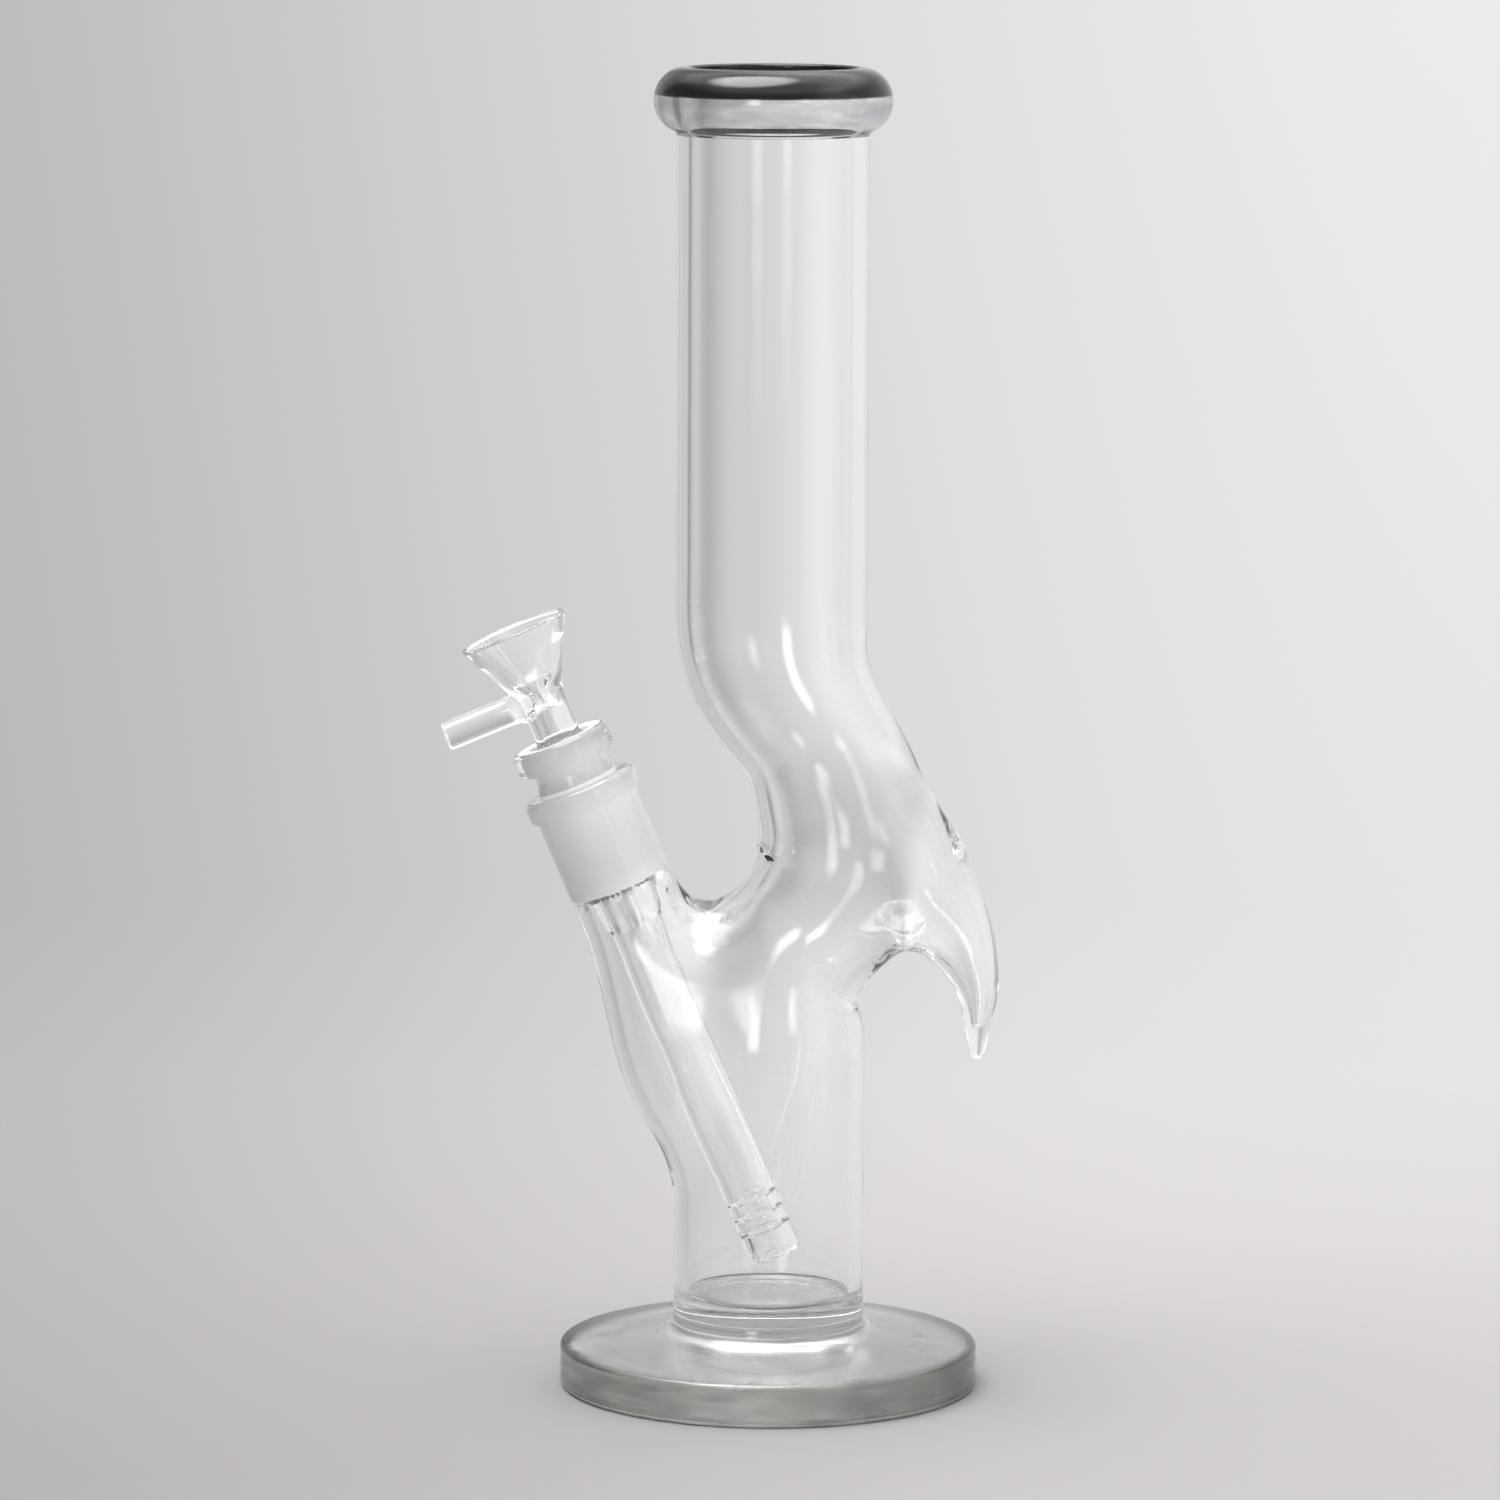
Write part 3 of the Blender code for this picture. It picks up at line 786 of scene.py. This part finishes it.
def make_pipe_glass(materials):
    """Foot, chamber, bend, horn, branch, socket, neck and lip: one closed skin of fused glass."""
    mesh = bmesh.new()
    neck_out, chamber_out, branch_out = add_blown(mesh, outside_field)
    neck_in, chamber_in, branch_in = add_blown(mesh, bore_field)

    neck_start = NECK_CUT + CUT_BAND
    lip = lip_profile()
    rise = line((TUBE_RADIUS, neck_start), lip[0], 12)
    fall = line(lip[-1], (BORE_RADIUS, neck_start), 12)
    neck = [(TUBE_RADIUS, neck_start), *rise, *lip[1:], *fall]
    first, last = add_turned(mesh, UPRIGHT, neck, TUBE_SIDES)
    zip_rings(mesh, UPRIGHT, neck_out, first)
    zip_rings(mesh, UPRIGHT, neck_in, last)

    chamber_end = CHAMBER_CUT - CUT_BAND
    first, _ = add_turned(mesh, UPRIGHT, [(TUBE_RADIUS, chamber_end), *foot_profile()], TUBE_SIDES)
    zip_rings(mesh, UPRIGHT, chamber_out, first)
    first, _ = add_turned(mesh, UPRIGHT, [(BORE_RADIUS, chamber_end), *floor_profile()], TUBE_SIDES)
    zip_rings(mesh, UPRIGHT, chamber_in, first)

    socket, cone_steps = socket_profile()
    lead = 3
    foot = (SOCKET_RADIUS, BRANCH_CUT + CUT_BAND)
    start = [foot, *line(foot, socket[0], lead)]
    ground = [(cone_steps[0] + lead, cone_steps[1] + lead)]
    first, last = add_turned(mesh, JOINT_FRAME, [*start, *socket[1:]], SOCKET_SIDES, ground)
    zip_rings(mesh, JOINT_FRAME, branch_out, first)
    zip_rings(mesh, JOINT_FRAME, branch_in, last)
    return finished("pipe_glass", mesh, materials, normals=skin_normals)


def make_lip_tint(materials):
    """Smoke glass with painted shade and light: dark in the upper half of the lip as painted shade, pale in
    the lower half as painted light.
    """
    middle = math.sin(math.radians(LIP_PAINTED_SHADE_FROM_DEG))
    # painted shade: the upper half takes the darker copy of the smoke glass
    dark = [
        *lip_outside(LIP_PAINTED_SHADE_FROM_DEG, 16, TINT_INSET),
        *lip_inside(0.90, middle, 12, TINT_INSET),
    ]
    # painted light: the lower half takes the paler copy of the smoke glass
    pale = [
        *lip_outside(-60.0, 16, TINT_INSET, LIP_PAINTED_SHADE_FROM_DEG - 0.5),
        *lip_inside(middle - 0.01, -0.88, 12, TINT_INSET),
    ]
    mesh = bmesh.new()
    add_turned(mesh, UPRIGHT, dark, TUBE_SIDES, closed=True)
    all_of_it = [(0, len(pale))]
    add_turned(mesh, UPRIGHT, pale, TUBE_SIDES, marked=all_of_it, closed=True)
    return finished("lip_tint", mesh, materials)


def make_foot_tint(material):
    """The smoke glass ring around the disc's edge."""
    inner = FOOT_RADIUS - RIM_RING_WIDTH
    top, bottom = rim_round(RIM_BEVEL - TINT_INSET)
    profile = [(inner, FOOT_HEIGHT - TINT_INSET), *top, *bottom, (inner, TINT_INSET)]
    return turned_piece("foot_rim_tint", UPRIGHT, profile, TUBE_SIDES, [material], closed=True)


def cone(radius_at, start, end, steps):
    """A ground cone between two stations, both included."""
    foot = (radius_at(start), start)
    return [foot, *line(foot, (radius_at(end), end), steps)]


def make_downstem(materials):
    """Collar, ground cone, tail and slit tube of the downstem, one piece of glass."""
    wall = STEM_RADIUS - STEM_BORE
    collar = [
        *arc((COLLAR_RADIUS - 1.5, COLLAR_TOP - 1.5), (1.5, 1.5), 90.0, 0.0, 6),
        *arc((COLLAR_RADIUS - 1.2, COLLAR_BOTTOM + 1.2), (1.2, 1.2), 0.0, -80.0, 5),
    ]
    waist = [
        (WAIST_RADIUS + 0.4, 31.0), (WAIST_RADIUS, 30.0), (WAIST_RADIUS + 0.1, 28.8),
        (MALE_RADIUS - 0.3, 27.6),
    ]
    male = cone(male_radius, 26.6, 0.0, 6)
    tail = [
        (8.0, -1.2), (7.85, -3.0), (7.7, -6.4), (7.3, -8.0), (6.8, -9.0), (6.45, -10.2), (STEM_RADIUS, -12.0),
    ]
    run = line(tail[-1], (STEM_RADIUS, STEM_END + wall / 2.0), 14)
    end = arc((STEM_BORE + wall / 2.0, STEM_END + wall / 2.0), (wall / 2.0, wall / 2.0), 0.0, -180.0, 10)[1:]
    bore = line(end[-1], (STEM_BORE, 12.0), 12)
    funnel = [(STEM_BORE + 0.5, 13.4), (bowl_socket_radius(17.0) - 0.2, 16.4)]
    female = cone(bowl_socket_radius, 17.5, 36.6, 5)
    mouth = [(bowl_socket_radius(37.2) + 0.4, COLLAR_TOP - 0.2)]
    profile = [*collar, *waist, *male, *tail, *run, *end, *bore, *funnel, *female, *mouth]
    male_at = len(collar) + len(waist)
    female_at = male_at + len(male) + len(tail) + len(run) + len(end) + len(bore) + len(funnel)
    ground = [(male_at, male_at + len(male) - 1), (female_at, female_at + len(female) - 1)]
    piece = turned_piece("downstem_glass", JOINT_FRAME, profile, JOINT_SIDES, materials, ground, closed=True)
    for station in SLIT_STATIONS:
        for side in (-1.0, 1.0):
            carve(piece, slit_box(side, station), "DIFFERENCE")
    even_shading(piece)
    return piece


def even_shading(piece):
    """Keeps wide faces looking flat next to narrow bevels."""
    piece.data.set_sharp_from_angle(angle=math.radians(50.0))
    modifier = piece.modifiers.new("even_shading", "WEIGHTED_NORMAL")
    modifier.keep_sharp = True


def slit_box(side, station):
    """The tool that cuts one slit into the front (-1) or the back (+1) of the downstem's end."""
    mesh = bmesh.new()
    size = Matrix.Diagonal((4.0 * STEM_RADIUS, 2.0 * STEM_RADIUS, SLIT_HEIGHT, 1.0))
    place = JOINT_FRAME @ Matrix.Translation((0.0, side * (SLIT_RIB + STEM_RADIUS), station)) @ size
    bmesh.ops.create_cube(mesh, size=1.0, matrix=place)
    return finished("slit_cutter", mesh, [])


def carve(piece, tool, operation):
    """Applies one Boolean to a finished piece and removes its tool."""
    modifier = piece.modifiers.new("carve", "BOOLEAN")
    modifier.operation = operation
    modifier.solver = "EXACT"
    modifier.object = tool
    result = piece.evaluated_get(bpy.context.evaluated_depsgraph_get())
    data = bpy.data.meshes.new_from_object(result)
    piece.modifiers.clear()
    piece.data = data
    bpy.data.objects.remove(tool)


def make_bowl(materials):
    """Ground plug, stem with its pinched hole, and funnel, with the rod handle fused on."""
    plug_top = 36.4
    half = FUNNEL_WALL / 2.0
    rim = arc((FUNNEL_MOUTH_RADIUS - half, FUNNEL_MOUTH - half), (half, half), 158.0, -22.0, 10)
    outside = [
        *braced(rim[-1], (6.6, 51.2), 4), (6.1, 50.2), (5.7, 49.2), (5.5, 47.6), (BOWL_STEM_RADIUS, 46.0),
        *line((BOWL_STEM_RADIUS, 46.0), (BOWL_STEM_RADIUS, 38.2), 3), (5.6, 37.3),
    ]
    plug = cone(plug_radius, plug_top, PLUG_END + 0.8, 4)
    end = [(bowl_socket_radius(PLUG_END) - 0.5, PLUG_END), (PLUG_BORE + 0.3, PLUG_END)]
    bore = [(PLUG_BORE, PLUG_END + 0.3), *line((PLUG_BORE, PLUG_END + 0.3), (PLUG_BORE, 44.6), 5)]
    pinch = [
        (3.2, 45.6), (2.4, 46.4), (1.8, 47.2), (1.6, 48.4), (1.7, 49.8), (2.2, 50.8), (3.1, 51.8),
        (4.2, 53.0),
    ]
    cup = braced(pinch[-1], rim[0], 4)[:-1]
    profile = [*rim, *outside, *plug, *end, *bore, *pinch, *cup]
    plug_at = len(rim) + len(outside)
    ground = [(plug_at, plug_at + len(plug) - 1)]
    piece = turned_piece("bowl_glass", JOINT_FRAME, profile, JOINT_SIDES, materials, ground, closed=True)
    level = JOINT_FRAME @ Matrix.Translation((0.0, 0.0, HANDLE_STATION))
    sideways = level @ Matrix.Rotation(-math.pi / 2.0, 4, "Y")
    rod = [
        (0.0, HANDLE_TIP), *line((0.0, HANDLE_TIP), (HANDLE_RADIUS - 0.5, HANDLE_TIP), 2),
        *arc((HANDLE_RADIUS - 0.5, HANDLE_TIP - 0.5), (0.5, 0.5), 90.0, 0.0, 4)[1:],
        *line((HANDLE_RADIUS, HANDLE_TIP - 0.5), (HANDLE_RADIUS, 8.4), 4), (HANDLE_RADIUS + 0.25, 7.0),
        (HANDLE_RADIUS + 0.7, 5.8), (HANDLE_RADIUS + 0.9, 4.9), (0.0, 4.9),
    ]
    carve(piece, turned_piece("handle_tool", sideways, rod, ROD_SIDES, materials), "UNION")
    even_shading(piece)
    return piece


# ---------------------------------------------------------------- stage

# Floor. Places in its material are in metres.
FLOOR_RADIUS = 1600.0
FLOOR_DROP = 0.0002
FLOOR_COLOUR = (1.0, 0.977, 0.988)
FLOOR_TONE = 0.255
FIBRE_SCALE = 900.0
FIBRE_CONTRAST = 0.015
# Painted light on the floor: its colour is darker to the left and towards the front, lighter to the right and
# towards the back
FLOOR_LEFT_TO_RIGHT = (-0.25, 0.12)
FLOOR_LEFT = 0.62
FLOOR_RIGHT = 0.90
FLOOR_NEAR_TO_FAR = (-0.1, 0.4)
FLOOR_NEAR = 0.97
FLOOR_FAR = 1.2
FLOOR_FADE = (0.16, 0.75)

# Surround: levels of light, and the spans of the direction's X, Y or Z over which one passes into the next
AIR_COLOUR = (1.0, 0.981, 1.003)
AIR_LEFT = 0.426
AIR_RIGHT = 0.846
LEFT_TO_RIGHT = (-0.20, 0.12)
AIR_FAR_LEFT = 1.5
FAR_LEFT_TO_LEFT = (-0.35, -0.15)
AIR_EDGE = 0.5
EDGE_TO_FAR_LEFT = (-0.74, -0.62)
AIR_LOW = 0.90
LOW_TO_LEVEL = (-0.25, -0.03)
AIR_FRONT = 0.48
FRONT_TO_BACK = (-0.35, 0.10)
AIR_BESIDE = 1.3
FRONT_TO_BESIDE = (0.50, 0.85)
AIR_BELOW = 0.35
BELOW_TO_LEVEL = (-0.30, -0.10)
CEILING = 2.9
LEVEL_TO_CEILING = (0.45, 0.75)

# Lamps, far away
KEY_LAMP = {
    "azimuth_deg": -20.0,
    "half_width_deg": 6.0,
    "elevations_deg": (-2.0, 17.0),
    "soft_deg": 4.0,
    "radiance": 6.5,
}
SIDE_LAMP = {
    "azimuth_deg": 31.0,
    "half_width_deg": 5.0,
    "elevations_deg": (6.0, 18.0),
    "soft_deg": 4.0,
    "radiance": 3.5,
}
OVERHEAD_LAMP = {"direction": (-0.22, -0.05, 0.97), "edge_deg": (14.0, 30.0), "radiance": 10.0}

# Camera
CAMERA_PLACE = (-0.00483, -1.6738, 0.3809)
CAMERA_DOWN_DEG = 7.837
CAMERA_ROLL_DEG = 0.24
CAMERA_LENS = 173.62
CAMERA_SENSOR = 36.0
CAMERA_CLIP = (0.05, 60.0)


def floor_paper():
    """Pale paper with painted light: darker to the left and towards the front, lighter to the right and
    towards the back; it turns clear away from the middle so that it has no edge.
    """
    material, nodes, links, shader = new_material("floor_paper")
    shader.inputs["Roughness"].default_value = 0.9
    shader.inputs["Specular IOR Level"].default_value = 0.1
    fibre = noise(nodes, links, FIBRE_SCALE, 3.0).outputs["Fac"]
    dark, light = ([c * FLOOR_TONE * (1.0 + change) for c in FLOOR_COLOUR]
                   for change in (-FIBRE_CONTRAST, FIBRE_CONTRAST))
    tone = tone_between(nodes, links, fibre, dark, light)
    place = nodes.new("ShaderNodeTexCoord").outputs["Object"]
    axes = axes_of(nodes, links, place)
    # painted light and shade: darker to the left and towards the front, lighter to the right and towards the
    # back
    across = mapped_smooth(nodes, links, axes["X"], *FLOOR_LEFT_TO_RIGHT, FLOOR_LEFT, FLOOR_RIGHT)
    away = mapped(nodes, links, axes["Y"], *FLOOR_NEAR_TO_FAR, FLOOR_NEAR, FLOOR_FAR)
    painted_light_tone = nodes.new("ShaderNodeVectorMath")
    painted_light_tone.operation = "SCALE"
    links.new(tone, painted_light_tone.inputs[0])
    links.new(times(nodes, links, across, away), painted_light_tone.inputs["Scale"])
    links.new(painted_light_tone.outputs["Vector"], shader.inputs["Base Color"])

    fade = mapped(nodes, links, length_of(nodes, links, place), *FLOOR_FADE, 0.0, 1.0)
    clear = nodes.new("ShaderNodeBsdfTransparent")
    mix = nodes.new("ShaderNodeMixShader")
    links.new(fade, mix.inputs["Fac"])
    links.new(shader.outputs["BSDF"], mix.inputs[1])
    links.new(clear.outputs["BSDF"], mix.inputs[2])
    links.new(mix.outputs["Shader"], nodes["Material Output"].inputs["Surface"])
    return material


def make_floor():
    """A wide disc of paper just under the foot."""
    mesh = bmesh.new()
    bmesh.ops.create_circle(mesh, cap_ends=True, radius=FLOOR_RADIUS, segments=96)
    floor = finished("floor", mesh, [floor_paper()])
    floor.location.z = -FLOOR_DROP


def make_surround():
    """An even studio surround, darker to the left and brighter to the right and overhead, and three lamps."""
    world = bpy.data.worlds.new("studio")
    bpy.context.scene.world = world
    world.use_nodes = True
    nodes, links = world.node_tree.nodes, world.node_tree.links
    direction = nodes.new("ShaderNodeTexCoord").outputs["Generated"]
    axes = axes_of(nodes, links, direction)

    across = mapped_smooth(nodes, links, axes["X"], *LEFT_TO_RIGHT, AIR_LEFT, AIR_RIGHT)
    far_left = mapped_smooth(nodes, links, axes["X"], *FAR_LEFT_TO_LEFT, AIR_FAR_LEFT, 1.0)
    edge = mapped_smooth(nodes, links, axes["X"], *EDGE_TO_FAR_LEFT, AIR_EDGE, 1.0)
    low = mapped(nodes, links, axes["Z"], *LOW_TO_LEVEL, AIR_LOW, 1.0)
    back = times(nodes, links, across, far_left)
    back = times(nodes, links, times(nodes, links, back, edge), low)

    beside = mapped_smooth(nodes, links, axes["X"], *FRONT_TO_BESIDE, AIR_FRONT, AIR_BESIDE)
    below = mapped_smooth(nodes, links, axes["Z"], *BELOW_TO_LEVEL, AIR_BELOW, 0.0)
    blend = nodes.new("ShaderNodeMix")
    links.new(mapped_smooth(nodes, links, axes["Y"], *FRONT_TO_BACK, 1.0, 0.0), blend.inputs["Factor"])
    links.new(back, blend.inputs["A"])
    links.new(plus(nodes, links, beside, below), blend.inputs["B"])

    above = mapped_smooth(nodes, links, axes["Z"], *LEVEL_TO_CEILING, 1.0, CEILING)
    light = times(nodes, links, blend.outputs["Result"], above)
    light = plus(nodes, links, light, soft_patch(nodes, links, direction, **KEY_LAMP))
    light = plus(nodes, links, light, soft_patch(nodes, links, direction, **SIDE_LAMP))
    light = plus(nodes, links, light, round_lamp(nodes, links, direction, **OVERHEAD_LAMP))
    background = nodes["Background"]
    background.inputs["Color"].default_value = (*AIR_COLOUR, 1.0)
    links.new(light, background.inputs["Strength"])


def soft_patch(nodes, links, looking, azimuth_deg, half_width_deg, elevations_deg, soft_deg, radiance):
    """A soft-edged box lamp. Azimuth 0 is straight in front of the pipe (-Y), positive to the right (+X)."""
    turned = nodes.new("ShaderNodeMapping")
    turned.inputs["Rotation"].default_value = (0.0, 0.0, -math.radians(azimuth_deg))
    links.new(looking, turned.inputs["Vector"])
    axes = axes_of(nodes, links, turned.outputs["Vector"])
    side, soft = math.sin(math.radians(half_width_deg)), math.sin(math.radians(soft_deg))
    low, high = (math.sin(math.radians(angle)) for angle in elevations_deg)
    light = mapped_smooth(nodes, links, axes["X"], -side - soft, -side + soft, 0.0, radiance)
    for axis, inner, outer in (
        ("X", side - soft, side + soft),
        ("Z", high - soft, high + soft),
        ("Y", -0.2, 0.0),
    ):
        limit = mapped_smooth(nodes, links, axes[axis], inner, outer, 1.0, 0.0)
        light = times(nodes, links, light, limit)
    limit = mapped_smooth(nodes, links, axes["Z"], low - soft, low + soft, 0.0, 1.0)
    return times(nodes, links, light, limit)


def round_lamp(nodes, links, looking, direction, edge_deg, radiance):
    """A soft-edged round lamp: full inside the first angle from its direction, and gone at the second."""
    facing = nodes.new("ShaderNodeVectorMath")
    facing.operation = "DOT_PRODUCT"
    links.new(looking, facing.inputs[0])
    facing.inputs[1].default_value = Vector(direction).normalized()
    inner, outer = (math.cos(math.radians(angle)) for angle in edge_deg)
    return mapped_smooth(nodes, links, facing.outputs["Value"], outer, inner, 0.0, radiance)


def make_camera():
    data = bpy.data.cameras.new("camera")
    data.lens = CAMERA_LENS
    data.sensor_width = CAMERA_SENSOR
    data.clip_start, data.clip_end = CAMERA_CLIP
    camera = bpy.data.objects.new("camera", data)
    pitch = Matrix.Rotation(math.radians(90.0 - CAMERA_DOWN_DEG), 4, "X")
    roll = Matrix.Rotation(math.radians(CAMERA_ROLL_DEG), 4, "Z")
    camera.matrix_world = Matrix.Translation(CAMERA_PLACE) @ pitch @ roll
    bpy.context.scene.collection.objects.link(camera)
    bpy.context.scene.camera = camera


def make_stage():
    make_camera()
    make_floor()
    make_surround()
    scene = bpy.context.scene
    scene.view_settings.view_transform = "Standard"
    scene.cycles.use_denoising = True
    scene.cycles.max_bounces = 40
    scene.cycles.transmission_bounces = 40
    scene.cycles.glossy_bounces = 24
    scene.cycles.diffuse_bounces = 12
    scene.cycles.transparent_max_bounces = 48


def main():
    clear, ground = clear_glass(), ground_glass()
    # the lip's smoke glass in two copies: darker as painted shade, paler as painted light
    smoke_painted_shade = tint_core("smoke_glass_painted_shade", *SMOKE_WITH_PAINTED_SHADE)
    smoke_painted_light = tint_core("smoke_glass_painted_light", *SMOKE_WITH_PAINTED_LIGHT)
    foot_smoke = tint_core("smoke_glass_foot", *FOOT_SMOKE)
    pieces = (
        (make_pipe_glass([clear, ground]), "pipe_body", "clear_glass",
         ("foot_disc", "bend_body", "neck_tube", "joint_socket")),
        (make_lip_tint([smoke_painted_shade, smoke_painted_light]), "pipe_body", "smoke_glass", ("lip_ring",)),
        (make_foot_tint(foot_smoke), "pipe_body", "smoke_glass", ("foot_rim_ring",)),
        (make_downstem([clear, ground]), "downstem", "ground_glass", ("downstem_joint", "downstem_tube")),
        (make_bowl([clear, ground]), "bowl", "clear_glass", ("bowl_plug", "bowl_funnel", "bowl_handle")),
    )
    for piece, body, slot, nodes in pieces:
        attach(piece, body)
        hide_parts(*nodes)


make_stage()
main()
